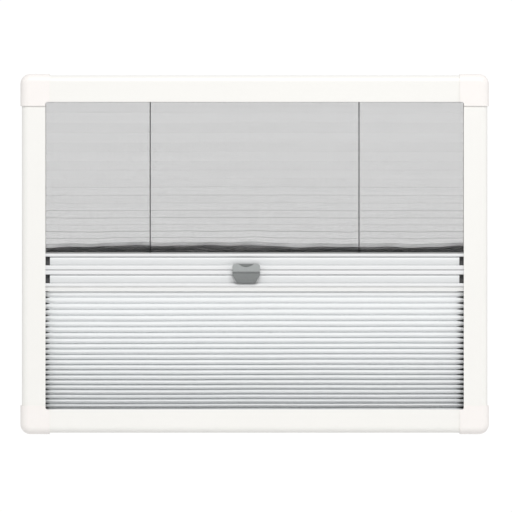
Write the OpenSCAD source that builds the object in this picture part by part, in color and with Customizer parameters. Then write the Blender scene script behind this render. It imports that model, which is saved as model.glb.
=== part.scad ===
// Pleated insect screen and blackout blind that share one window frame.
// X runs across the window, Y from the room to the wall and Z up.
// The origin is the middle of the frame's back, in the plane of the wall.

/* [Frame] */
// Width over the side rails
frame_w = 646; // [480:1:900]
// Height over the top and bottom rails
frame_h = 496; // [420:1:800]
// Depth of the rails from the wall to their front face
frame_d = 26; // [25:0.5:32]
// Face width of each side rail
side_face = 33; // [31:0.5:40]
// Face width of the bottom rail
bottom_face = 32.4; // [31:0.1:40]
// Face width of the top rail
top_face = 37.1; // [31:0.1:42]
// Wall of the rail extrusions
rail_wall = 1.6; // [1.2:0.1:2]
// Radius of the rounded outer shoulder of the rails
shoulder_r = 9; // [5:0.5:10]
// Depth of the channel that holds the pleats and guides the bars
channel_h = 17.4; // [16.5:0.1:19]

/* [Corners] */
// Wall of the moulded corner caps
cap_wall = 1.8; // [1.2:0.1:2.4]
// Length of rail that a cap laps over, past the corner of the opening
cap_lap = 5.5; // [3:0.5:15]
// Radius of a cap's outer corner, seen from the front
cap_corner_r = 14; // [13.5:0.5:18]
// Radius of the fillet in the corner of the opening
cap_fillet_r = 3; // [1:0.5:6]
// Distance from the wall to the edge of a cap's skirt
cap_skirt_b = 3; // [0.5:0.5:8]
// Diameter of the pegs that hold a cap
peg_d = 4; // [3:0.2:5]
// Length of a bracket's spigots inside the rails
spigot_l = 22; // [12:1:40]
// Diameter of the wall screw holes
screw_d = 4.5; // [3.5:0.1:5]
// Diameter of the seat for a screw's head
screw_head_d = 9; // [7:0.5:10]
// Thickness under a screw's head
screw_seat = 5; // [3:0.5:8]

/* [Bars] */
// Height of the line where the two bars meet, above the frame's middle
parting_z = -22.1; // [-60:0.1:60]
// Height of each bar
bar_h = 22.6; // [21:0.1:25]
// Distance of the bars from the planes of the frame's back and front
bar_set = 3; // [2.6:0.1:3.5]
// Wall of the bar extrusions
bar_wall = 1.4; // [1:0.1:1.8]
// Height of the flange above a bar's recess
bar_flange = 4.6; // [4:0.1:5]
// Height of the flange below a bar's recess
bar_foot = 6; // [5.4:0.1:6.4]
// Radius of a bar's front edges
bar_edge_r = 1.5; // [0.5:0.1:2]
// Depth of the walls that return from the flanges
bar_return = 7; // [6:0.1:8]
// Depth of the recess in front of the cover strips
recess_d = 2; // [1.6:0.1:2.6]
// How far a cover strip bulges
cover_bulge = 1.5; // [0.8:0.1:2]
// Wall of the cover strips
cover_wall = 1.2; // [0.8:0.1:1.6]
// Length of the bar's recess that a cover strip leaves open at each end
cover_short = 6; // [1:0.5:12]
// How far the bars reach into the side rails
bar_in = 8; // [6.5:0.5:8]
// Length of a glide's spigot inside its bar
glide_spigot = 18; // [12:1:30]

/* [Pleats] */
// Length of one panel of the screen between two folds
panel_l = 15.2; // [14.5:0.1:16]
// Length of one panel of the blackout blind between two folds
blind_panel_l = 8.8; // [8:0.1:12]
// Mean pitch of the blackout pleats where they hang
blind_pitch = 7.36; // [6:0.02:9]
// How much more the top pleats of the blind are open than their mean
blind_grade = 0.18; // [0:0.01:0.4]
// Share of a panel's length by which the screen may be pulled open
screen_stretch = 0.9; // [0.8:0.01:0.92]
// How much less open the lowest free panel of the screen is than the top one
screen_slack = 0.41; // [0.2:0.01:0.5]
// Number of panels of the screen that lie bunched on the bar
bunch_panels = 8; // [4:1:10]
// Opening of a bunched panel as a share of the top panel's
bunch_open = 0.08; // [0.06:0.01:0.12]
// Thickness of the screen
screen_t = 0.3; // [0.2:0.05:0.4]
// Thickness of the blackout cloth
blind_t = 0.45; // [0.3:0.05:0.6]
// How far the pleats reach into the side rails
pleat_in = 6; // [4:0.5:6]
// Thickness of the strips that hold the pleats in the rails
rail_strip_t = 2; // [1.2:0.1:3]
// Thickness of the strip that holds the screen on its bar
bar_strip_t = 1; // [0.8:0.1:1.5]
// Height of the strip that holds the blackout blind under its bar
hem_h = 6; // [4:0.1:8]
// Depth of the strips
strip_d = 15; // [13:0.5:17]
// How far the bars can drop from where they are
drop = 150; // [120:1:152]

/* [Cords] */
// Diameter of the cords
cord_d = 1.4; // [0.8:0.1:1.6]
// Distance of each cord from the middle of the screen
cord_x = 145; // [80:1:200]
// Radius of a cord's turns inside the bar
cord_bend_r = 4; // [3:0.5:5]
// Distance from the opening to a cord's tail in the side rail
tail_in = 11; // [10.8:0.1:12]
// Diameter of the springs that keep the cords taut
spring_d = 4; // [3.4:0.1:4.4]
// Wire of the cord springs
spring_wire = 0.7; // [0.5:0.05:0.8]
// Turns of a cord spring
spring_turns = 11; // [7:1:14]
// Diameter of the pegs that the cord springs hook on
spring_peg_d = 3; // [2.6:0.1:3.2]

/* [Latch] */
// Distance of the latch from the middle of the frame, to the right
latch_x = -11.7; // [-60:0.1:60]
// Width of the handle
handle_w = 38; // [36:0.5:44]
// How far the handle reaches above the line between the bars
handle_up = 8.5; // [8.2:0.1:10]
// How far the handle reaches below the line between the bars
handle_down = 18.6; // [18:0.1:20]
// How far the handle's ridge stands out from the bars
handle_out = 11; // [9.5:0.1:13]
// Wall of the handle
handle_wall = 1.8; // [1.4:0.1:2]
// Width of the finger scoop in the handle's top edge
scoop_w = 21.5; // [16:0.5:24]
// Depth of the finger scoop
scoop_h = 4.4; // [3:0.1:5]
// Diameter of the latch pin
pin_d = 2.4; // [2:0.1:2.8]
// Thickness of the ears that carry the pin
ear_t = 2.5; // [1.8:0.1:3]
// Wire of the latch spring
latch_wire = 0.6; // [0.4:0.05:0.7]

/* [Fits] */
// Gap between a cap and what it covers
cap_gap = 0.2; // [0.1:0.05:0.4]
// Gap around spigots, pegs and other pieces pushed together
push_gap = 0.15; // [0.05:0.05:0.25]
// Running gap of the glides in the side rails
glide_gap = 0.4; // [0.3:0.05:0.6]
// Radial gap between the latch pin and the handle
pin_gap = 0.05; // [0.02:0.01:0.1]
// Radial gap around the cords
cord_gap = 0.6; // [0.4:0.05:0.7]
// Gap between soft pleats and the bars
soft_gap = 0.3; // [0.3:0.05:0.6]
// Width of the groove between the two bars, in front of the rib where they meet
meet_gap = 0.8; // [0.4:0.05:1]

/* [Hidden] */
$fn = 48;
skin = 1;
mid_b = frame_d / 2;
inner_w = frame_w - 2 * side_face;
open_top = frame_h / 2 - top_face;
open_bottom = bottom_face - frame_h / 2;
web_top = open_top + channel_h;
web_bottom = open_bottom - channel_h;
cap_off = cap_gap + cap_wall;
corner_in = cap_corner_r - cap_off;
bracket_h = frame_d - shoulder_r;
bracket_plate = 2;
leg_p = side_face - channel_h;
screw_in = leg_p * 0.58;
peg_in = 6;
peg_depth = 7;
bar_d = frame_d - 2 * bar_set;
bar_back = bar_set;
bar_front = frame_d - bar_set;
screen_z0 = parting_z + meet_gap / 2;
blind_z0 = parting_z - meet_gap / 2 - bar_h;
screen_foot = screen_z0 + bar_h + bar_strip_t;
blind_head = blind_z0 - hem_h;
pleat_w = inner_w + 2 * pleat_in;
bar_l = inner_w + 2 * bar_in;
cover_l = inner_w - 2 * cover_short;
recess_h = bar_h - bar_flange - bar_foot;
recess_mid = bar_foot + recess_h / 2;
screen_cover_z = screen_z0 + recess_mid;
blind_cover_z = blind_z0 + bar_h - recess_mid;
cover_h = recess_h - 2 * push_gap;
cover_r = (pow(cover_h / 2, 2) + pow(cover_bulge, 2)) / (2 * cover_bulge);
cover_front = bar_front - recess_d;
cover_back = bar_front - bar_return + push_gap;
glide_end = inner_w / 2 + channel_h - 1.4;
glide_edge_r = 3;
tail_x = inner_w / 2 + tail_in;
cord_run_z = screen_z0 + bar_h / 2;
anchor_h = 5;
anchor_d = 6;
knot_d = 2.4;
eyelet_flange_d = 7;
eyelet_flange_t = 0.8;
eyelet_d = 4.8;
spring_coil_r = (spring_d - spring_wire) / 2;
spring_peg_z = web_bottom + 3;
spring_loop_r = spring_coil_r * 1.45;
spring_ring_z = spring_peg_z + spring_loop_r - (spring_peg_d + spring_wire) / 2 - push_gap;
spring_hook = sqrt(pow(spring_loop_r, 2) - pow(spring_coil_r, 2));
spring_bottom = spring_ring_z + spring_hook;
spring_pitch = spring_wire * 1.3;
spring_top = spring_bottom + spring_turns * spring_pitch;
tail_end = spring_top + spring_hook + spring_loop_r + spring_wire / 2;
pin_z = blind_z0 + bar_h / 2 - 1.3;
pin_b = bar_front + 1.2;
ear_r = 2.2;
ear_x = 9.3;
base_w = 2 * (ear_x + ear_t) + 2;
boss_x = ear_x + ear_t + 0.3;
pin_l = 2 * boss_x + 3.6;
rim_b = bar_front + 0.5;
low_rim_b = bar_front + 1.6;
ridge_b = bar_front + handle_out;
ridge_z = -1.5;
belly_z = -4.4;
belly_b = ridge_b - 2.6;
belly_bulge = 0.8;
belly_turn = 1.5;
bottom_b = bar_front + 3;
top_b = bar_front + 3.2;
hook_gap = 0.4;
hook_z0 = meet_gap / 2 + bar_foot + hook_gap;
hook_b0 = cover_front + 0.4;

// Colours of the finishes
white_paint = [0.96, 0.96, 0.94];
white_plastic = [0.97, 0.95, 0.93];
dark_plastic = [0.13, 0.13, 0.14];
grey_plastic = [0.5, 0.51, 0.51];
black_mesh = [0.1, 0.1, 0.11];
blind_cloth = [0.95, 0.95, 0.95];
steel = [0.7, 0.71, 0.72];

// Smooth step from 0 to 1
function ramp(t) = t <= 0 ? 0 : t >= 1 ? 1 : t * t * (3 - 2 * t);

// Running total of a list, from 0 to the whole
function running(v) = [for (i = 0, s = 0; i <= len(v); s = s + (i < len(v) ? v[i] : 0), i = i + 1) s];

// Heights of the folds between two ends, for panels of the given openings
function folds(z_from, z_to, open) =
    let (sums = running(open))
    [for (s = sums) z_from + (z_to - z_from) * s / sums[len(open)]];

// Mean height of the panels that meet at a fold
function panel_rise(z, i) =
    abs(z[min(i + 1, len(z) - 1)] - z[max(i - 1, 0)]) / (i == 0 || i == len(z) - 1 ? 1 : 2);

// Depth of the pleats at a fold: a panel keeps its length as it opens
function fold_depth(z, i, l) = sqrt(max(pow(l, 2) - pow(panel_rise(z, i), 2), pow(l / 6, 2)));

// Depth of the cloth cut level at a fold
function level_cut(z, i, t, l) = t * l / panel_rise(z, i);

// Zigzag outline of pleats in height and depth, with every second fold at the front
function pleat_outline(z, t, l) =
    let (n = len(z) - 1)
    concat(
        [for (i = [0 : n])
            [z[i], mid_b + (i % 2 == 0
                ? level_cut(z, i, t, l) - fold_depth(z, i, l) / 2
                : fold_depth(z, i, l) / 2)]],
        [for (i = [n : -1 : 0])
            [z[i], mid_b + (i % 2 == 0
                ? -fold_depth(z, i, l) / 2
                : fold_depth(z, i, l) / 2 - level_cut(z, i, t, l))]]);

// Panels of the screen that its longest drop needs, in whole pleats
screen_panels = 2 * ceil((web_top - screen_foot + drop) / (2 * panel_l * screen_stretch));
bunch_turn = 4;
free_panels = screen_panels - bunch_panels - bunch_turn;
screen_open = [for (i = [0 : screen_panels - 1])
    let (s = ramp((i - free_panels) / bunch_turn))
    (1 - screen_slack * i / free_panels) * (1 - s) + bunch_open * s];
screen_folds = folds(web_top - rail_strip_t, screen_foot + soft_gap, screen_open);

// Panels of the blackout blind, in whole pleats
blind_panels = 2 * round((blind_head - web_bottom) / blind_pitch);
blind_open = [for (i = [0 : blind_panels - 1]) 1 + blind_grade * (1 - 2 * i / (blind_panels - 1))];
blind_folds = folds(blind_head - soft_gap, web_bottom + rail_strip_t, blind_open);

// Sections are drawn with x as the distance inwards or up and y as the distance from the wall

// Runs a section along X
module run_x(x0, x1) {
    translate([x0, 0, 0])
        rotate([90, 0, 0])
            rotate([90, 0, 90])
                linear_extrude(x1 - x0)
                    children();
}

// Runs a section along Z
module run_z(z0, z1) {
    translate([0, 0, z1])
        rotate([180, 0, 0])
            linear_extrude(z1 - z0)
                children();
}

// Extrudes a front view from one distance off the wall to another
module facing(b0, b1) {
    translate([0, -b0, 0])
        rotate([90, 0, 0])
            linear_extrude(b1 - b0)
                children();
}

// Round bar or hole square to the wall
module facing_round(x, z, d, b0, b1) {
    translate([x, -b0, z])
        rotate([90, 0, 0])
            cylinder(d = d, h = b1 - b0);
}

// Puts a piece made for the bottom left corner in any corner
module at_corner(right, top) {
    mirror([right ? 1 : 0, 0, 0])
        mirror([0, 0, top ? 1 : 0])
            translate([-frame_w / 2, 0, -frame_h / 2])
                children();
}

// Puts a piece made for the right side on either side
module at_side(left) {
    mirror([left ? 1 : 0, 0, 0])
        children();
}

// Block section with its outer front edge rounded
module shouldered(w, b0, b1, r) {
    translate([0, b0])
        square([w, b1 - b0 - r]);
    translate([r, b0])
        square([w - r, b1 - b0]);
    translate([0, b1 - r])
        intersection() {
            square(r);
            translate([r, 0])
                circle(r);
        }
}

// Rail extrusion: a closed outer chamber and an open inner channel
module rail_section(face) {
    web = face - channel_h;
    difference() {
        shouldered(face, 0, frame_d, shoulder_r);
        translate([rail_wall, 0])
            shouldered(web - 2 * rail_wall, rail_wall, frame_d - rail_wall, shoulder_r - rail_wall);
        translate([web, rail_wall])
            square([channel_h + skin, frame_d - 2 * rail_wall]);
    }
}

module bottom_rail() {
    color(white_paint)
        translate([0, 0, -frame_h / 2])
            run_x(-inner_w / 2, inner_w / 2)
                rail_section(bottom_face);
}

module top_rail() {
    color(white_paint)
        difference() {
            translate([0, 0, frame_h / 2])
                mirror([0, 0, 1])
                    run_x(-inner_w / 2, inner_w / 2)
                        rail_section(top_face);
            for (left = [false, true])
                at_side(left)
                    cord_drop(cord_d + 2 * cord_gap);
        }
}

module side_rail(left) {
    color(white_paint)
        at_side(!left)
            translate([-frame_w / 2, 0, 0])
                run_z(open_bottom, open_top)
                    rail_section(side_face);
}

module left_rail() side_rail(true);

module right_rail() side_rail(false);

// Corner bracket: a block that plugs into both rails, with an open pocket at the inner corner
module corner_bracket(face) {
    leg_q = face - channel_h;
    spigot_h = bracket_h - rail_wall - push_gap;
    side = rail_wall + push_gap;
    difference() {
        union() {
            facing(0, bracket_h) {
                difference() {
                    bracket_outline(face);
                    translate([leg_p, leg_q])
                        square([channel_h + skin, channel_h + skin]);
                }
            }
            facing(0, bracket_plate)
                bracket_outline(face);
            run_x(side_face - skin, side_face + spigot_l)
                translate([side, side])
                    square([leg_q - 2 * side, spigot_h - side]);
            run_z(face - skin, face + spigot_l)
                translate([side, side])
                    square([leg_p - 2 * side, spigot_h - side]);
        }
        facing_round(screw_in, screw_in, screw_d, -skin, bracket_h + skin);
        facing_round(screw_in, screw_in, screw_head_d, screw_seat, bracket_h + skin);
        for (at = cap_pegs(face))
            facing_round(at[0], at[1], peg_d + 2 * push_gap, bracket_h - peg_depth - skin, bracket_h + skin);
    }
}

// Front view of a bracket, rounded under the cap's outer corner
module bracket_outline(face) {
    translate([corner_in, 0])
        square([side_face - corner_in, face]);
    translate([0, corner_in])
        square([side_face, face - corner_in]);
    translate([corner_in, corner_in])
        circle(corner_in);
}

// Places of the two pegs that hold a cap
function cap_pegs(face) = [
    [side_face - peg_in, (face - channel_h) / 2],
    [leg_p / 2, face - peg_in]
];

module top_left_bracket() color(dark_plastic) at_corner(false, true) corner_bracket(top_face);

module top_right_bracket() color(dark_plastic) at_corner(true, true) corner_bracket(top_face);

// Bottom brackets also carry the pegs of the cord springs
module bottom_bracket(right) {
    color(dark_plastic) {
        at_corner(right, false)
            corner_bracket(bottom_face);
        at_side(!right)
            facing_round(tail_x, spring_peg_z, spring_peg_d, bracket_plate - skin, mid_b + spring_d / 2);
    }
}

module bottom_left_bracket() bottom_bracket(false);

module bottom_right_bracket() bottom_bracket(true);

// Form of a cap at a given distance outside the rails, as two legs and a turned corner
module cap_form(off, b0, reach_p, reach_q, in_p, in_q) {
    front = frame_d + off;
    r = shoulder_r + off;
    run_x(corner_in, reach_p)
        translate([-off, 0])
            shouldered(in_q + off, b0, front, r);
    run_z(corner_in, reach_q)
        translate([-off, 0])
            shouldered(in_p + off, b0, front, r);
    translate([corner_in, 0, corner_in])
        rotate([90, 0, 0])
            rotate([0, 0, 180])
                rotate_extrude(angle = 90)
                    translate([corner_in + off, 0])
                        mirror([1, 0])
                            shouldered(corner_in + off - skin, b0, front, r);
    facing(b0, front)
        translate([corner_in - skin, corner_in - skin])
            square(2 * skin);
}

// Moulded corner cap: a shell over the rail ends, held by two pegs
module corner_cap(face) {
    color(white_plastic) {
        difference() {
            cap_form(cap_off, cap_skirt_b, side_face + cap_lap, face + cap_lap, side_face, face);
            cap_form(cap_gap, 0, side_face + cap_lap + skin, face + cap_lap + skin,
                side_face + skin, face + skin);
        }
        facing(frame_d + cap_gap, frame_d + cap_off)
            difference() {
                translate([side_face - skin, face - skin])
                    square(cap_fillet_r + skin);
                translate([side_face + cap_fillet_r, face + cap_fillet_r])
                    circle(cap_fillet_r);
            }
        for (at = cap_pegs(face))
            facing_round(at[0], at[1], peg_d, bracket_h - peg_depth, frame_d + cap_gap + skin);
    }
}

module top_left_cap() at_corner(false, true) corner_cap(top_face);

module top_right_cap() at_corner(true, true) corner_cap(top_face);

module bottom_left_cap() at_corner(false, false) corner_cap(bottom_face);

module bottom_right_cap() at_corner(true, false) corner_cap(bottom_face);

// Straight fall of the right cord from its anchor into the screen bar
module cord_drop(d) {
    translate([cord_x, -mid_b, cord_run_z + cord_bend_r])
        cylinder(d = d, h = web_top + rail_wall + anchor_h + knot_d / 2 - cord_run_z - cord_bend_r);
}

// Quarter turn of a cord in the plane of the screen
module cord_turn(d, x, z, start) {
    translate([x, -mid_b, z])
        rotate([90, 0, 0])
            rotate([0, 0, start])
                rotate_extrude(angle = 90)
                    translate([cord_bend_r, 0])
                        circle(d = d);
}

// Whole route of the right cord: down the screen, along the bar and down the side rail
module cord_route(d) {
    cord_drop(d);
    cord_turn(d, cord_x + cord_bend_r, cord_run_z + cord_bend_r, 180);
    translate([cord_x + cord_bend_r, -mid_b, cord_run_z])
        rotate([0, 90, 0])
            cylinder(d = d, h = tail_x - cord_x - 2 * cord_bend_r);
    cord_turn(d, tail_x - cord_bend_r, cord_run_z - cord_bend_r, 0);
    translate([tail_x, -mid_b, tail_end])
        cylinder(d = d, h = cord_run_z - cord_bend_r - tail_end);
}

// Cord with a knot at each end
module cord(left) {
    color(black_mesh)
        at_side(left) {
            cord_route(cord_d);
            translate([cord_x, -mid_b, web_top + rail_wall + anchor_h + knot_d / 2])
                sphere(d = knot_d);
            translate([tail_x, -mid_b, tail_end + knot_d / 2])
                sphere(d = knot_d);
        }
}

module left_cord() cord(true);

module right_cord() cord(false);

// Ferrule in the top rail that stops a cord's knot
module cord_anchor(left) {
    color(dark_plastic)
        at_side(left)
            difference() {
                translate([cord_x, -mid_b, web_top + rail_wall])
                    cylinder(d = anchor_d, h = anchor_h);
                cord_drop(cord_d + 2 * push_gap);
            }
}

module left_cord_anchor() cord_anchor(true);

module right_cord_anchor() cord_anchor(false);

// Coil of round wire about Z, swept as one closed tube
module coil(r, wire, pitch, turns) {
    sides = 6;
    steps = 12;
    rings = turns * steps;
    points = [for (i = [0 : rings], k = [0 : sides - 1])
        let (a = 360 * i / steps, c = 360 * k / sides, ring_r = r + wire / 2 * cos(c))
        [ring_r * cos(a), ring_r * sin(a), pitch * i / steps + wire / 2 * sin(c)]];
    walls = [for (i = [0 : rings - 1], k = [0 : sides - 1])
        let (next = (k + 1) % sides, at = i * sides)
        each [
            [at + k, at + next, at + sides + next],
            [at + k, at + sides + next, at + sides + k]
        ]];
    ends = [[for (k = [sides - 1 : -1 : 0]) k], [for (k = [0 : sides - 1]) rings * sides + k]];
    polyhedron(points, concat(walls, ends), convexity = 10);
}

// Ring of wire that faces the room
module wire_ring(r, wire) {
    rotate([90, 0, 0])
        rotate_extrude()
            translate([r, 0])
                circle(d = wire);
}

// Extension spring that keeps a cord taut, hooked on a peg of the bottom bracket
module cord_spring(left) {
    color(steel)
        at_side(left)
            translate([tail_x, -mid_b, 0]) {
                translate([0, 0, spring_bottom])
                    coil(spring_coil_r, spring_wire, spring_pitch, spring_turns);
                translate([0, 0, spring_ring_z])
                    wire_ring(spring_loop_r, spring_wire);
                translate([0, 0, spring_top + spring_hook])
                    wire_ring(spring_loop_r, spring_wire);
            }
}

module left_cord_spring() cord_spring(true);

module right_cord_spring() cord_spring(false);

// Flat strip that holds the edge of the pleats
module pleat_strip(l, z0, z1) {
    run_x(-l / 2, l / 2)
        translate([z0, mid_b - strip_d / 2])
            square([z1 - z0, strip_d]);
}

module screen_head_strip() {
    color(dark_plastic)
        difference() {
            pleat_strip(inner_w, web_top - rail_strip_t, web_top);
            for (left = [false, true])
                at_side(left)
                    cord_drop(cord_d + 2 * cord_gap);
        }
}

module blind_foot_strip() {
    color(white_plastic)
        pleat_strip(inner_w, web_bottom, web_bottom + rail_strip_t);
}

module screen_foot_strip() {
    color(dark_plastic)
        difference() {
            pleat_strip(pleat_w, screen_z0 + bar_h, screen_foot);
            for (left = [false, true])
                at_side(left)
                    translate([cord_x, -mid_b, screen_z0 + bar_h - skin])
                        cylinder(d = eyelet_flange_d + 2 * push_gap, h = bar_strip_t + 2 * skin);
        }
}

module blind_head_strip() {
    color(white_plastic)
        pleat_strip(pleat_w, blind_head, blind_z0);
}

// Insect screen: opened wide at the top, bunched on the bar at the bottom
module insect_screen() {
    color(black_mesh)
        difference() {
            run_x(-pleat_w / 2, pleat_w / 2)
                polygon(pleat_outline(screen_folds, screen_t, panel_l));
            for (left = [false, true])
                at_side(left)
                    cord_drop(cord_d + 2 * cord_gap);
        }
}

module blackout_blind() {
    color(blind_cloth)
        run_x(-pleat_w / 2, pleat_w / 2)
            polygon(pleat_outline(blind_folds, blind_t, blind_panel_l));
}

// Bar extrusion: a hollow with a recess in its front between two flanges
module bar_section() {
    difference() {
        union() {
            translate([0, bar_back])
                square([bar_h, bar_d - bar_edge_r]);
            translate([bar_edge_r, bar_back])
                square([bar_h - 2 * bar_edge_r, bar_d]);
            for (z = [bar_edge_r, bar_h - bar_edge_r])
                translate([z, bar_front - bar_edge_r])
                    circle(bar_edge_r);
        }
        difference() {
            translate([bar_wall, bar_back + bar_wall])
                square([bar_h - 2 * bar_wall, bar_d - 2 * bar_wall]);
            for (z = [bar_foot - bar_wall, bar_h - bar_flange])
                translate([z, bar_front - bar_return])
                    square([bar_wall, bar_return]);
        }
        translate([bar_foot, bar_front - bar_return])
            square([recess_h, bar_return + skin]);
        translate([bar_h - bar_flange, bar_front])
            edge_waste(1);
        translate([bar_foot, bar_front])
            edge_waste(-1);
    }
}

// What a rounded edge takes off a flange that lies to one side of it
module edge_waste(side) {
    difference() {
        translate([side > 0 ? -skin : -bar_edge_r, -bar_edge_r])
            square([bar_edge_r + skin, bar_edge_r + skin]);
        translate([side * bar_edge_r, -bar_edge_r])
            circle(bar_edge_r);
    }
}

// Cover strip: a shallow bulged face with two legs that grip the recess
module cover_section() {
    difference() {
        intersection() {
            translate([-cover_h / 2, cover_back])
                square([cover_h, cover_front - cover_back + skin]);
            translate([0, cover_front - cover_r])
                circle(cover_r, $fn = 180);
        }
        intersection() {
            translate([-cover_h / 2 + cover_wall, cover_back - skin])
                square([cover_h - 2 * cover_wall, cover_front - cover_back + 2 * skin]);
            translate([0, cover_front - cover_r])
                circle(cover_r - cover_wall, $fn = 180);
        }
    }
}

// Length of cover strip whose middle is at a height
module cover(x0, x1, mid_z) {
    translate([0, 0, mid_z])
        run_x(x0, x1)
            cover_section();
}

module screen_bar() {
    color(white_paint)
        difference() {
            translate([0, 0, screen_z0])
                run_x(-bar_l / 2, bar_l / 2)
                    bar_section();
            for (left = [false, true])
                at_side(left)
                    translate([cord_x, -mid_b, screen_z0 + bar_h - bar_wall - skin])
                        cylinder(d = eyelet_d + 2 * push_gap, h = bar_wall + 2 * skin);
        }
}

module screen_bar_cover() {
    color(white_plastic)
        cover(-cover_l / 2, cover_l / 2, screen_cover_z);
}

// The blind's bar is the same extrusion turned upside down, with a rib that meets the other bar
module blind_bar() {
    color(white_paint)
        translate([0, 0, blind_z0 + bar_h])
            mirror([0, 0, 1])
                run_x(-bar_l / 2, bar_l / 2) {
                    bar_section();
                    translate([push_gap - meet_gap, bar_back])
                        square([meet_gap - push_gap + bar_wall, bar_d / 2]);
                }
}

module left_blind_cover() {
    color(white_plastic)
        cover(-cover_l / 2, latch_x - base_w / 2 - push_gap, blind_cover_z);
}

module right_blind_cover() {
    color(white_plastic)
        cover(latch_x + base_w / 2 + push_gap, cover_l / 2, blind_cover_z);
}

// Glide: a shoe that runs in the side rail, with a spigot in the end of its bar
module glide(z0) {
    shoe_d = frame_d - 2 * rail_wall - 2 * glide_gap;
    plug_h = bar_h - 2 * bar_wall - 2 * push_gap;
    plug_d = bar_d - bar_wall - bar_return - 2 * push_gap;
    r = glide_edge_r;
    difference() {
        translate([0, 0, z0]) {
            run_x(bar_l / 2, glide_end)
                translate([push_gap, mid_b - shoe_d / 2]) {
                    translate([r, 0])
                        square([bar_h - 2 * push_gap - 2 * r, shoe_d]);
                    translate([0, r])
                        square([bar_h - 2 * push_gap, shoe_d - 2 * r]);
                    for (z = [r, bar_h - 2 * push_gap - r], b = [r, shoe_d - r])
                        translate([z, b])
                            circle(r);
                }
            run_x(bar_l / 2 - glide_spigot, bar_l / 2 + skin)
                translate([bar_wall + push_gap, bar_back + bar_wall + push_gap])
                    square([plug_h, plug_d]);
        }
        cord_route(cord_d + 2 * cord_gap);
    }
}

module left_screen_glide() color(dark_plastic) at_side(true) glide(screen_z0);

module right_screen_glide() color(dark_plastic) at_side(false) glide(screen_z0);

module left_blind_glide() color(dark_plastic) at_side(true) glide(blind_z0);

module right_blind_glide() color(dark_plastic) at_side(false) glide(blind_z0);

// Flanged bush that leads a cord into the screen bar
module cord_eyelet(left) {
    color(dark_plastic)
        at_side(left)
            difference() {
                translate([cord_x, -mid_b, screen_z0 + bar_h]) {
                    cylinder(d = eyelet_flange_d, h = eyelet_flange_t);
                    translate([0, 0, -bar_wall - skin])
                        cylinder(d = eyelet_d, h = bar_wall + skin + eyelet_flange_t);
                }
                cord_drop(cord_d + 2 * cord_gap);
            }
}

module left_cord_eyelet() cord_eyelet(true);

module right_cord_eyelet() cord_eyelet(false);

// Base of the latch: a clip in the blind bar's recess with two ears for the pin
module latch_base() {
    color(grey_plastic)
        difference() {
            union() {
                cover(latch_x - base_w / 2, latch_x + base_w / 2, blind_cover_z);
                for (x = [-ear_x - ear_t, ear_x])
                    run_x(latch_x + x, latch_x + x + ear_t) {
                        translate([pin_z - ear_r, cover_front - cover_wall])
                            square([2 * ear_r, pin_b - cover_front + cover_wall]);
                        translate([pin_z, pin_b])
                            circle(ear_r);
                    }
            }
            latch_axis(pin_d, base_w + 2 * skin);
        }
}

// Round bar on the latch's hinge line
module latch_axis(d, l) {
    translate([latch_x - l / 2, -pin_b, pin_z])
        rotate([0, 90, 0])
            cylinder(d = d, h = l);
}

module latch_pin() {
    color(steel)
        latch_axis(pin_d, pin_l);
}

// Torsion spring around the pin, with one leg on the base
module latch_spring() {
    turns = 6;
    pitch = latch_wire * 1.2;
    coil_r = pin_d / 2 + latch_wire / 2 + push_gap;
    color(steel) {
        translate([latch_x - turns * pitch / 2, -pin_b, pin_z])
            rotate([0, 90, 0])
                coil(coil_r, latch_wire, pitch, turns);
        translate([latch_x - turns * pitch / 2, -pin_b, pin_z - coil_r])
            rotate([-90, 0, 0])
                cylinder(d = latch_wire, h = pin_b - cover_front);
    }
}

// Front view of the handle: square shoulders, two horns and a tapered foot
module handle_outline() {
    half = handle_w / 2;
    shoulder = 4;
    taper_z = -7;
    foot_r = 5.2;
    foot_x = half / 2;
    foot_turn = 28.6;
    horn_r = 1.6;
    scoop_r = (pow(scoop_w / 2, 2) + pow(scoop_h, 2)) / (2 * scoop_h);
    touch = [foot_x + foot_r * cos(foot_turn), foot_r * (1 - sin(foot_turn)) - handle_down];
    difference() {
        union() {
            translate([-half, taper_z])
                square([handle_w, handle_up - shoulder - taper_z]);
            translate([shoulder - half, 0])
                square([handle_w - 2 * shoulder, handle_up]);
            for (side = [-1, 1]) {
                translate([side * (half - shoulder), handle_up - shoulder])
                    circle(shoulder);
                translate([side * (scoop_w / 2 + horn_r / 4), handle_up - horn_r / 4])
                    circle(horn_r);
                translate([side * foot_x, foot_r - handle_down])
                    circle(foot_r);
            }
            polygon([
                [-half, taper_z], [half, taper_z], touch, [foot_x, -handle_down],
                [-foot_x, -handle_down], [-touch[0], touch[1]]
            ]);
        }
        translate([0, handle_up + scoop_r - scoop_h])
            circle(scoop_r, $fn = 96);
    }
}

// Side view of the handle: a plate up to a ridge, a scoop under it for the finger and a rounded foot
module handle_profile(inset) {
    steps = 10;
    top = handle_up + 2;
    low = inset - handle_down;
    mouth = inset > 0 ? skin : 0;
    shelf = inset * 0.8;
    belly = [for (i = [0 : steps])
        let (t = i / steps)
        [belly_z + shelf + (low - belly_z - shelf) * t,
            belly_b - inset + (bottom_b - belly_b) * pow(t, belly_turn) + belly_bulge * sin(180 * t)]];
    polygon(concat(
        [[top - inset * 2, rim_b - mouth], [top - inset * 2, top_b - inset]],
        [[ridge_z + shelf, ridge_b - inset], [ridge_z - 1 + shelf, ridge_b - inset]],
        belly,
        [[low, low_rim_b - mouth], [pin_z - parting_z, low_rim_b - mouth], [belly_z, rim_b - mouth]]));
}

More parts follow.
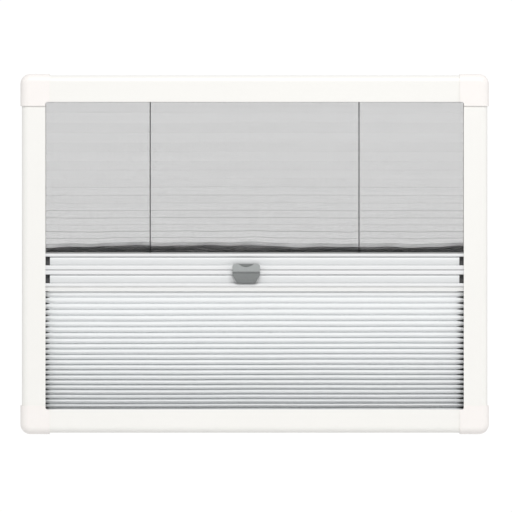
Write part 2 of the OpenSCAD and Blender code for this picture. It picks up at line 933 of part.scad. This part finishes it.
// Handle: a hollow moulding that turns on the pin and hooks behind the screen bar's lower flange.
// A lining closes its back behind the finger scoop.
module latch_handle() {
    half = handle_w / 2;
    hook_w = handle_w - 8;
    hook_t = 1.2;
    lining_h = scoop_h + handle_wall;
    color(grey_plastic)
        difference() {
            translate([latch_x, 0, parting_z]) {
                difference() {
                    intersection() {
                        facing(rim_b, ridge_b + skin)
                            handle_outline();
                        run_x(-half, half)
                            handle_profile(0);
                    }
                    run_x(-boss_x, boss_x)
                        handle_profile(handle_wall);
                    intersection() {
                        run_x(handle_wall - half, half - handle_wall)
                            handle_profile(handle_wall);
                        facing(rim_b - skin, ridge_b)
                            translate([-half, belly_z])
                                square([handle_w, handle_w]);
                    }
                }
                run_x(-hook_w / 2, hook_w / 2) {
                    translate([hook_z0, hook_b0])
                        square([handle_up - hook_z0, rim_b + hook_t - hook_b0]);
                    translate([handle_up - lining_h, rim_b])
                        square([lining_h, hook_t]);
                }
            }
            latch_axis(pin_d + 2 * pin_gap, handle_w);
        }
}

top_rail();
bottom_rail();
left_rail();
right_rail();
top_left_bracket();
top_right_bracket();
bottom_left_bracket();
bottom_right_bracket();
top_left_cap();
top_right_cap();
bottom_left_cap();
bottom_right_cap();
screen_head_strip();
blind_foot_strip();
insect_screen();
blackout_blind();
left_cord();
right_cord();
left_cord_anchor();
right_cord_anchor();
left_cord_spring();
right_cord_spring();
screen_bar();
screen_bar_cover();
screen_foot_strip();
left_screen_glide();
right_screen_glide();
left_cord_eyelet();
right_cord_eyelet();
blind_bar();
left_blind_cover();
right_blind_cover();
blind_head_strip();
left_blind_glide();
right_blind_glide();
latch_base();
latch_pin();
latch_spring();
latch_handle();
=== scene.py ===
import math

import bpy
import numpy as np
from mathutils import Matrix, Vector


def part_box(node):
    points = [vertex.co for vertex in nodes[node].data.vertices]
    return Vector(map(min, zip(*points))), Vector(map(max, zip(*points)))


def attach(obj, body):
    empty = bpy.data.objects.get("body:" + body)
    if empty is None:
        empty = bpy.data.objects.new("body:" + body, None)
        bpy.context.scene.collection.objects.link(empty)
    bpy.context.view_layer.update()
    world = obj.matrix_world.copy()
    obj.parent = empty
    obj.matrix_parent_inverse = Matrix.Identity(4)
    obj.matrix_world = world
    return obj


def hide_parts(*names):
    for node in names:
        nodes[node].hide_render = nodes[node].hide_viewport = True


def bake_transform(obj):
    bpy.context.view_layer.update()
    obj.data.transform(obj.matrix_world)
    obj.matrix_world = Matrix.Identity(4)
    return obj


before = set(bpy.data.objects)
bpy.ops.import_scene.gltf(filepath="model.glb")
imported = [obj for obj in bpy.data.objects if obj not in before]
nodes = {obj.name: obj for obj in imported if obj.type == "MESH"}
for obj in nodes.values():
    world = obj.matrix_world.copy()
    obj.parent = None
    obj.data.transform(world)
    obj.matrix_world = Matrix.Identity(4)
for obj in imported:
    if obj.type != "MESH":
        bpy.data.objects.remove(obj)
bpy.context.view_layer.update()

# Frame rails: extruded aluminium with a rounded outer shoulder, cut square and plugged onto the corner
# brackets. They are powder coated white, with a very fine orange peel that only shows in the highlights.
mottle = bpy.data.node_groups.new("mottle", "ShaderNodeTree")
for name, kind, value in (
    ("Color", "NodeSocketColor", (0.8, 0.8, 0.8, 1)),
    ("Roughness", "NodeSocketFloat", 0.4),
    ("Cloud", "NodeSocketFloat", 6.0),
    ("Grain", "NodeSocketFloat", 900.0),
    ("Amount", "NodeSocketFloat", 0.02),
):
    mottle.interface.new_socket(name, in_out="INPUT", socket_type=kind).default_value = value
for name, kind in (
    ("Color", "NodeSocketColor"), ("Roughness", "NodeSocketFloat"), ("Height", "NodeSocketFloat")
):
    mottle.interface.new_socket(name, in_out="OUTPUT", socket_type=kind)


def step(tree, operation, *values):
    """One step of arithmetic in a node tree, on sockets and numbers."""
    node = tree.nodes.new("ShaderNodeMath")
    node.operation = operation
    for socket, value in zip(node.inputs, values):
        if isinstance(value, (int, float)):
            socket.default_value = value
        else:
            tree.links.new(value, socket)
    return node.outputs[0]


def scaled(tree, colour, share):
    """A colour times a share."""
    node = tree.nodes.new("ShaderNodeVectorMath")
    node.operation = "SCALE"
    tree.links.new(colour, node.inputs[0])
    tree.links.new(share, node.inputs["Scale"])
    return node.outputs[0]


coat_in, coat_out = mottle.nodes.new("NodeGroupInput"), mottle.nodes.new("NodeGroupOutput")
place = mottle.nodes.new("ShaderNodeTexCoord")
noises = {}
for name, detail in (("Cloud", 4), ("Grain", 3)):
    noise = mottle.nodes.new("ShaderNodeTexNoise")
    noise.inputs["Detail"].default_value = detail
    mottle.links.new(place.outputs["Object"], noise.inputs["Vector"])
    mottle.links.new(coat_in.outputs[name], noise.inputs["Scale"])
    noises[name] = noise.outputs["Fac"]
raised = step(mottle, "MULTIPLY_ADD", noises["Cloud"], coat_in.outputs["Amount"], 1.0)
swing = step(mottle, "MULTIPLY_ADD", coat_in.outputs["Amount"], -0.5, raised)
mottle.links.new(scaled(mottle, coat_in.outputs["Color"], swing), coat_out.inputs["Color"])
mottle.links.new(step(mottle, "MULTIPLY", coat_in.outputs["Roughness"], swing), coat_out.inputs["Roughness"])
mottle.links.new(noises["Grain"], coat_out.inputs["Height"])


def finish(
    name, colour, roughness, cloud=6.0, grain=900.0, amount=0.02, depth=0.00002, metallic=0.0, gloss=0.5
):
    """Material with the mottled colour and fine grain of a coat or moulding."""
    material = bpy.data.materials.new(name)
    material.use_nodes = True
    tree = material.node_tree
    shader = tree.nodes["Principled BSDF"]
    skin = tree.nodes.new("ShaderNodeGroup")
    skin.node_tree = mottle
    values = {"Color": (*colour, 1), "Roughness": roughness, "Cloud": cloud, "Grain": grain, "Amount": amount}
    for socket, value in values.items():
        skin.inputs[socket].default_value = value
    bump = tree.nodes.new("ShaderNodeBump")
    bump.inputs["Distance"].default_value = depth
    bump.inputs["Strength"].default_value = 1.0
    tree.links.new(skin.outputs["Color"], shader.inputs["Base Color"])
    tree.links.new(skin.outputs["Roughness"], shader.inputs["Roughness"])
    tree.links.new(skin.outputs["Height"], bump.inputs["Height"])
    tree.links.new(bump.outputs["Normal"], shader.inputs["Normal"])
    shader.inputs["Metallic"].default_value = metallic
    shader.inputs["Specular IOR Level"].default_value = gloss
    return material


def dress(material, *names):
    """Gives CAD nodes their material."""
    for name in names:
        nodes[name].data.materials.clear()
        nodes[name].data.materials.append(material)


powder_coat = finish("powder_coat", (0.865, 0.855, 0.825), 0.38, grain=700.0, depth=0.00003)
dress(powder_coat, "top_rail", "bottom_rail", "left_rail", "right_rail")

# Corner caps: moulded plastic, a shade warmer than the paint, pushed over the corners and the rails' ends.
# The pegs behind them plug into the corner brackets, which are dark moulded plastic.
cap_plastic = finish("cap_plastic", (0.89, 0.855, 0.83), 0.45, cloud=9.0, grain=1400.0, depth=0.00002)
dark_moulding = finish("dark_moulding", (0.02, 0.02, 0.022), 0.5, grain=1500.0, amount=0.2)
for corner in ("top_left", "top_right", "bottom_left", "bottom_right"):
    dress(cap_plastic, corner + "_cap")
    dress(dark_moulding, corner + "_bracket")

# Insect screen: black fibreglass mesh heat set in pleats, glued to a strip in the top rail and one on its
# bar. It is nearly open at the top, and its last folds lie bunched and a little wavy on the bar.
sheet_w = 0.592
mid_y = -0.013
fine_from, coarse_to = 0.28, 0.276
xs = np.concatenate([
    np.linspace(-sheet_w / 2, -fine_from, 17),
    np.linspace(-coarse_to, coarse_to, 139),
    np.linspace(fine_from, sheet_w / 2, 17),
])
flat_start = 0.3


def running(openings, z_from, z_to):
    """Heights of the folds of a pleated sheet whose panels open in these shares."""
    reached = np.concatenate([[0.0], np.cumsum(openings)])
    return z_from + (z_to - z_from) * reached / reached[-1]


def depths(z, length):
    """Depth of the pleats at each fold: a panel keeps its length as it opens, and never lies quite flat."""
    least = length / 6
    rise = np.abs(np.gradient(z))
    return np.sqrt(np.maximum(length ** 2 - rise ** 2, least ** 2))


def ripples(rank, waves, lean=0):
    """Waves along the folds, on a lean. Each has a size, a pitch, a drift from fold to fold and a phase."""
    swells = (
        size * np.sin(xs[None, :] * pitch + rank * drift + phase) for size, pitch, drift, phase in waves
    )
    return sum(swells, lean)


def placed(name, data):
    """Object with this data, in the scene."""
    thing = bpy.data.objects.new(name, data)
    bpy.context.scene.collection.objects.link(thing)
    return thing


def pleated(name, z, front, depth, length, cuts, power):
    """Pleated sheet with fold heights z[fold, x]. Panels bulge by power[fold, x], in cuts steps."""
    last = len(z) - 1
    steps = np.linspace(0, 1, cuts + 1)
    points, unrolled = [], []
    for i in range(last + 1):
        for s in steps[:-1] if i < last else steps[:1]:
            j = min(i + 1, last)
            crest_first = i % 2 == 1
            u = s if crest_first else 1 - s
            crest = front[i] * (1 - s) + front[j] * s
            y = crest + (depth[i] * (1 - s) + depth[j] * s) * u ** power[i]
            points.append(np.stack([xs, y, z[i] * (1 - s) + z[j] * s], 1))
            unrolled.append((i + s) * length)
    points = np.array(points)
    rows, cols = points.shape[:2]
    index = np.arange(rows * cols).reshape(rows, cols)
    faces = np.stack([index[:-1, :-1], index[1:, :-1], index[1:, 1:], index[:-1, 1:]], -1).reshape(-1, 4)
    mesh = bpy.data.meshes.new(name)
    mesh.from_pydata(points.reshape(-1, 3).tolist(), [], faces.tolist())
    across, down = np.broadcast_arrays(xs[None, :] + flat_start, np.array(unrolled)[:, None])
    flat = np.stack([across, down], -1).reshape(-1, 2)
    layer = mesh.uv_layers.new(name="flat")
    layer.data.foreach_set("uv", flat[faces.ravel()].astype(np.float32).ravel())
    return placed(name, mesh)


def follow(piece):
    """Bakes the piece's placement into its mesh; nothing here makes it stretch between bodies or its folds
    open and close.
    """
    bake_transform(piece)


panel = 0.0152
screen_panels, open_panels, bunch_turn = 28, 16, 4
screen_slack, bunch_open = 0.41, 0.055
screen_top, screen_foot = 0.2263, 0.0022
screen_cuts = 2
fold = np.arange(screen_panels)
bunch = np.clip((fold - open_panels) / bunch_turn, 0, 1)
bunch = bunch * bunch * (3 - 2 * bunch)
screen_open = (1 - screen_slack * fold / open_panels) * (1 - bunch) + bunch_open * bunch
screen_z = running(screen_open, screen_top, screen_foot)
screen_depth = depths(screen_z, panel)
rank = np.arange(screen_panels + 1)[:, None]
sway = np.interp(rank, [0, 3, 15, 19, 23, 26, 28], [0, 0.0002, 0.0005, 0.0019, 0.0016, 0.0009, 0])
screen_waves = sway * ripples(
    rank, ((0.75, 13, 0.12, 0.4), (0.3, 38, 0.45, 0), (0.25, 71, -0.35, 1.3), (0.2, 127, 0.7, 2.1))
)
straight = np.ones((screen_panels + 1, len(xs)))
screen = pleated(
    "screen_mesh", screen_z[:, None] + screen_waves, mid_y - screen_depth / 2, screen_depth,
    panel, screen_cuts, straight,
)

weave = bpy.data.node_groups.new("weave", "ShaderNodeTree")
weave.interface.new_socket("Vector", in_out="INPUT", socket_type="NodeSocketVector")
for name, value in (("Pitch", 0.0012), ("Warp", 0.2), ("Weft", 0.2), ("Panel", panel), ("Crease", 0.0002)):
    weave.interface.new_socket(name, in_out="INPUT", socket_type="NodeSocketFloat").default_value = value
weave.interface.new_socket("Alpha", in_out="OUTPUT", socket_type="NodeSocketFloat")
net_in, net_out = weave.nodes.new("NodeGroupInput"), weave.nodes.new("NodeGroupOutput")
split = weave.nodes.new("ShaderNodeSeparateXYZ")
weave.links.new(net_in.outputs["Vector"], split.inputs[0])
stretch = weave.nodes.new("ShaderNodeVectorMath")
stretch.operation = "MULTIPLY"
stretch.inputs[1].default_value = (3, 260, 0)
weave.links.new(net_in.outputs["Vector"], stretch.inputs[0])
streaks = weave.nodes.new("ShaderNodeTexNoise")
streaks.inputs["Scale"].default_value = 1.0
streaks.inputs["Detail"].default_value = 3
weave.links.new(stretch.outputs[0], streaks.inputs["Vector"])
unevenness = step(weave, "MULTIPLY_ADD", streaks.outputs["Fac"], 0.36, 0.82)
weft_share = step(weave, "MULTIPLY", net_in.outputs["Weft"], unevenness)
yarns = []
for axis, share in (("X", net_in.outputs["Warp"]), ("Y", weft_share)):
    count = step(weave, "DIVIDE", split.outputs[axis], net_in.outputs["Pitch"])
    yarns.append(step(weave, "LESS_THAN", step(weave, "FRACT", count), share))
half_panel = step(weave, "MULTIPLY", net_in.outputs["Panel"], 0.5)
to_fold = step(weave, "PINGPONG", split.outputs["Y"], half_panel)
creased = step(weave, "LESS_THAN", to_fold, net_in.outputs["Crease"])
weave.links.new(step(weave, "MAXIMUM", step(weave, "MAXIMUM", *yarns), creased), net_out.inputs["Alpha"])


def ranged(tree, value, start, end, smooth=False):
    """Maps a value from one span to another, and holds it at the ends."""
    node = tree.nodes.new("ShaderNodeMapRange")
    node.interpolation_type = "SMOOTHSTEP" if smooth else "LINEAR"
    for socket, number in zip(("From Min", "From Max", "To Min", "To Max"), (*start, *end)):
        node.inputs[socket].default_value = number
    tree.links.new(value, node.inputs["Value"])
    return node.outputs["Result"]


mesh_yarn = finish("mesh_yarn", (0.03, 0.03, 0.032), 0.6, cloud=30.0, grain=3000.0, amount=0.3, depth=0.00001)
yarn_tree = mesh_yarn.node_tree
screen_flat = yarn_tree.nodes.new("ShaderNodeUVMap")
screen_flat.uv_map = "flat"
net = yarn_tree.nodes.new("ShaderNodeGroup")
net.node_tree = weave
net.inputs["Warp"].default_value = 0.235
slant = yarn_tree.nodes.new("ShaderNodeLayerWeight")
slant.inputs["Blend"].default_value = 0.5
closing = ranged(yarn_tree, slant.outputs["Facing"], (0.5, 0.96), (0.24, 0.96), smooth=True)
crease_w = ranged(yarn_tree, slant.outputs["Facing"], (0.18, 0.45), (0.000005, 0.00028))
yarn_tree.links.new(closing, net.inputs["Weft"])
yarn_tree.links.new(crease_w, net.inputs["Crease"])
yarn_tree.links.new(screen_flat.outputs["UV"], net.inputs["Vector"])
yarn_tree.links.new(net.outputs["Alpha"], yarn_tree.nodes["Principled BSDF"].inputs["Alpha"])
screen.data.materials.append(mesh_yarn)
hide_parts("insect_screen")
follow(screen)

# Guide cords: braided polyester, knotted on an anchor in the top rail, down through holes in the pleats and
# round an eyelet into the screen bar, along it and down the side rail to a small tension spring on the
# bottom bracket.
cord_braid = finish(
    "cord_braid", (0.04, 0.04, 0.042), 0.7, cloud=60.0, grain=2500.0, amount=0.4, depth=0.0001
)
cord_r, bend_r = 0.0007, 0.004
drop_x, tail_x, run_z = 0.145, 0.301, -0.0104


def tube(name, path, radius, sides=10):
    """Round cord along a path that bends only in the plane of the screen."""
    path = np.array(path, float)
    ways = np.gradient(path, axis=0)
    ways /= np.linalg.norm(ways, axis=1)[:, None]
    aside = np.stack([-ways[:, 2], np.zeros(len(ways)), ways[:, 0]], 1)
    turn = np.linspace(0, 2 * math.pi, sides, endpoint=False)
    rings = (
        path[:, None, :]
        + radius * np.cos(turn)[None, :, None] * aside[:, None, :]
        + radius * np.sin(turn)[None, :, None] * np.array([0, 1, 0])[None, None, :]
    )
    index = np.arange(len(path) * sides).reshape(len(path), sides)
    after = np.roll(index, -1, axis=1)
    faces = np.stack([index[:-1], after[:-1], after[1:], index[1:]], -1).reshape(-1, 4).tolist()
    faces += [index[0][::-1].tolist(), index[-1].tolist()]
    mesh = bpy.data.meshes.new(name)
    mesh.from_pydata(rings.reshape(-1, 3).tolist(), [], faces)
    mesh.shade_smooth()
    return placed(name, mesh)


quarter = np.linspace(0, math.pi / 2, 9)
for side, way in (("left", -1), ("right", 1)):
    cord_low, cord_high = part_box(side + "_cord")
    x_drop, x_tail = way * drop_x, way * tail_x
    drop_zs = np.linspace(cord_high.z, run_z + bend_r, 40)
    tail_zs = np.linspace(run_z - bend_r, cord_low.z, 30)
    drop = tube(side + "_cord_drop", [(x_drop, mid_y, z) for z in drop_zs], cord_r)
    along = [
        (x_drop + way * bend_r * (1 - math.cos(a)), mid_y, run_z + bend_r * (1 - math.sin(a)))
        for a in quarter
    ]
    along += [
        (x_tail - way * bend_r * (1 - math.sin(a)), mid_y, run_z - bend_r * (1 - math.cos(a)))
        for a in quarter
    ]
    run = tube(side + "_cord_run", along, cord_r)
    tail = tube(side + "_cord_tail", [(x_tail, mid_y, z) for z in tail_zs], cord_r)
    for piece in (drop, run, tail):
        piece.data.materials.append(cord_braid)
        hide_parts(side + "_cord")
    follow(drop)
    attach(run, "screen_slider")
    follow(tail)

# Cord fittings: moulded anchors in the top rail and eyelets in the screen bar, both of dark plastic, and
# springs wound of bright steel wire that hang on pegs of the bottom brackets.
spring_wire = finish(
    "spring_wire", (0.62, 0.63, 0.64), 0.28, cloud=80.0, grain=2000.0, amount=0.15, metallic=1.0
)
for side in ("left", "right"):
    dress(dark_moulding, side + "_cord_anchor", side + "_cord_eyelet")
    dress(spring_wire, side + "_cord_spring")

# Two bars: white extrusions that run in the side rails on moulded glides. Each has a recess in its front
# with a snap-in cover strip. The lower bar's strip is in two lengths beside the latch.
bar_paint = finish("bar_paint", (0.79, 0.795, 0.8), 0.36, cloud=5.0, grain=700.0, depth=0.00003)
cover_plastic = finish("cover_plastic", (0.725, 0.735, 0.74), 0.32, cloud=5.0, grain=1600.0, depth=0.00001)
strip_plastic = finish("strip_plastic", (0.8, 0.8, 0.79), 0.5, cloud=12.0, grain=1600.0)
glide_plastic = finish("glide_plastic", (0.09, 0.09, 0.092), 0.42, cloud=20.0, grain=1800.0, amount=0.15)
dress(bar_paint, "screen_bar", "blind_bar")
dress(cover_plastic, "screen_bar_cover", "left_blind_cover", "right_blind_cover")
dress(strip_plastic, "blind_head_strip", "blind_foot_strip")
dress(dark_moulding, "screen_head_strip", "screen_foot_strip")
dress(glide_plastic, "left_screen_glide", "right_screen_glide", "left_blind_glide", "right_blind_glide")

# Blackout blind: white coated polyester, heat set in small pleats and glued to a strip under the lower bar
# and one in the bottom rail. The pleats bulge to the front and close up a little towards the bottom, and
# painted shade darkens their grooves in wedges where they open at the side rails.
blind_panel = 0.0088
blind_panels, blind_grade = 50, 0.18
blind_head, blind_foot = -0.0514, -0.231
crest_out = 0.004
blind_cuts = 8
fold = np.arange(blind_panels)
blind_open = 1 + blind_grade * (1 - 2 * fold / (blind_panels - 1))
blind_z = running(blind_open, blind_head, blind_foot)
blind_front = np.full(blind_panels + 1, mid_y - crest_out)
groove_share = np.interp(np.arange(blind_panels + 1), [0, 1, 12, 36, 50], [0.2, 0.45, 0.62, 1, 1])
blind_depth = depths(blind_z, blind_panel) * groove_share
rank = np.arange(blind_panels + 1)[:, None]
hold = np.interp(rank, [0, 6, 44, 50], [0, 1, 1, 0])
left_sag, sag_x, sag_w = 0.0006, -0.05, 0.05
lean = -left_sag / (1 + np.exp((xs[None, :] - sag_x) / sag_w))
blind_waves = hold * ripples(rank, ((0.00008, 21, 0.21, 0), (0.00005, 47, -0.13, 0.8)), lean)
end_share = np.interp(np.abs(xs), [0.278, 0.2895], [1, 0.15])
bulge = np.linspace(2.6, 0.6, blind_panels + 1)[:, None] * end_share[None, :]
blind = pleated(
    "blind_cloth", blind_z[:, None] + blind_waves, blind_front, blind_depth, blind_panel, blind_cuts, bulge
)
cloth = finish(
    "blackout_cloth", (0.803, 0.816, 0.822), 0.75,
    cloud=25.0, grain=2600.0, amount=0.03, depth=0.00006, gloss=0.25,
)
blind.data.materials.append(cloth)


def paint_shade(material, value, dark_at, light_at, share):
    """Paints shade into a material's colour: scales it down to this share where a value nears dark_at."""
    tree = material.node_tree
    base = tree.nodes["Principled BSDF"].inputs["Base Color"]
    shade = ranged(tree, value, (dark_at, light_at), (share, 1.0), smooth=True)
    tree.links.new(scaled(tree, base.links[0].from_socket, shade), base)


cloth_tree = cloth.node_tree
blind_flat = cloth_tree.nodes.new("ShaderNodeUVMap")
blind_flat.uv_map = "flat"
cloth_axes = cloth_tree.nodes.new("ShaderNodeSeparateXYZ")
cloth_tree.links.new(blind_flat.outputs["UV"], cloth_axes.inputs[0])
# Painted shade: the grooves' ends darken in wedges at both side rails, where the rails shade them.
shade_wedges = [
    ranged(cloth_tree, cloth_axes.outputs["X"], (inner, outer), (0.0, height))
    for inner, outer, height in ((0.0175, 0.0105, 0.0036), (0.578, 0.5895, 0.0046))
]
to_groove = step(cloth_tree, "PINGPONG", cloth_axes.outputs["Y"], blind_panel)
groove_end_shade = step(cloth_tree, "SUBTRACT", step(cloth_tree, "MAXIMUM", *shade_wedges), to_groove)
paint_shade(cloth, groove_end_shade, 0.0012, 0.0, 0.07)
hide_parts("blackout_blind")
follow(blind)

# Latch: a grey moulded handle that turns on a steel pin in a base on the lower bar and hooks behind the
# upper bar's flange. Its face is grained, and painted shade darkens it below the ridge and down in the finger
# scoop. A small wire spring behind it holds it shut.
base_plastic = finish(
    "base_plastic", (0.272, 0.286, 0.284), 0.48, cloud=40.0, grain=2600.0, amount=0.05, depth=0.00006
)
handle_plastic = finish(
    "handle_plastic", (0.318, 0.334, 0.332), 0.48, cloud=420.0, grain=2600.0, amount=0.25, depth=0.00006
)
handle_tree = handle_plastic.node_tree
spot = handle_tree.nodes.new("ShaderNodeTexCoord")
handle_axes = handle_tree.nodes.new("ShaderNodeSeparateXYZ")
handle_tree.links.new(spot.outputs["Object"], handle_axes.inputs[0])
# Painted shade: darker below the ridge, and darker the deeper it lies in the finger scoop.
for axis, dark_at, light_at, share in (("Z", -0.0265, -0.0225, 0.667), ("Y", -0.0255, -0.0275, 0.72)):
    paint_shade(handle_plastic, handle_axes.outputs[axis], dark_at, light_at, share)
dress(handle_plastic, "latch_handle")
dress(base_plastic, "latch_base")
dress(spring_wire, "latch_pin", "latch_spring")

# Stage: a plain white floor under the part, an even room that is white behind it, and one large soft light
# from above and in front. The camera looks straight at the front from far off.
floor_x, floor_y, floor_z = 1.5, 1.2, -0.5
floor_mesh = bpy.data.meshes.new("floor")
corners = [(x * floor_x, y * floor_y, floor_z) for x, y in ((-1, -1), (1, -1), (1, 1), (-1, 1))]
floor_mesh.from_pydata(corners, [], [(0, 1, 2, 3)])
floor_paint = finish("floor_paint", (0.95, 0.95, 0.95), 0.8, cloud=1.5, grain=60.0, amount=0.01)
floor_mesh.materials.append(floor_paint)
floor = placed("floor", floor_mesh)

world = bpy.data.worlds.new("room")
world.use_nodes = True
room = world.node_tree
background = room.nodes["Background"]
direction = room.nodes.new("ShaderNodeTexCoord")
parts = room.nodes.new("ShaderNodeSeparateXYZ")
room.links.new(direction.outputs["Generated"], parts.inputs[0])
behind = ranged(room, parts.outputs["Y"], (0.86, 0.985), (0.0, 1.0), smooth=True)
sides = step(room, "MULTIPLY_ADD", parts.outputs["X"], 0.55, 0.04)
around = step(room, "MULTIPLY_ADD", parts.outputs["X"], sides, 0.42)
glow = room.nodes.new("ShaderNodeMix")
glow.inputs["B"].default_value = 1.04
room.links.new(behind, glow.inputs["Factor"])
room.links.new(around, glow.inputs["A"])
room.links.new(glow.outputs["Result"], background.inputs["Strength"])
background.inputs["Color"].default_value = (1, 1, 1, 1)
bpy.context.scene.world = world

lamp = bpy.data.lights.new("key", "AREA")
lamp.shape = "RECTANGLE"
lamp.size, lamp.size_y = 2.6, 0.8
lamp.energy = 96
key = placed("key", lamp)
key.location = (0.3, -3.0, 2.6)
key.rotation_euler = (Vector((0, 0, 0)) - key.location).to_track_quat("-Z", "Y").to_euler()

lens = bpy.data.cameras.new("camera")
lens.sensor_width = 36
lens.lens = 500
camera = placed("camera", lens)
camera.location = (0.0019, -9.885, -0.0027)
camera.rotation_euler = (math.radians(90), 0, 0)
bpy.context.scene.camera = camera
bpy.context.scene.view_settings.view_transform = "Standard"
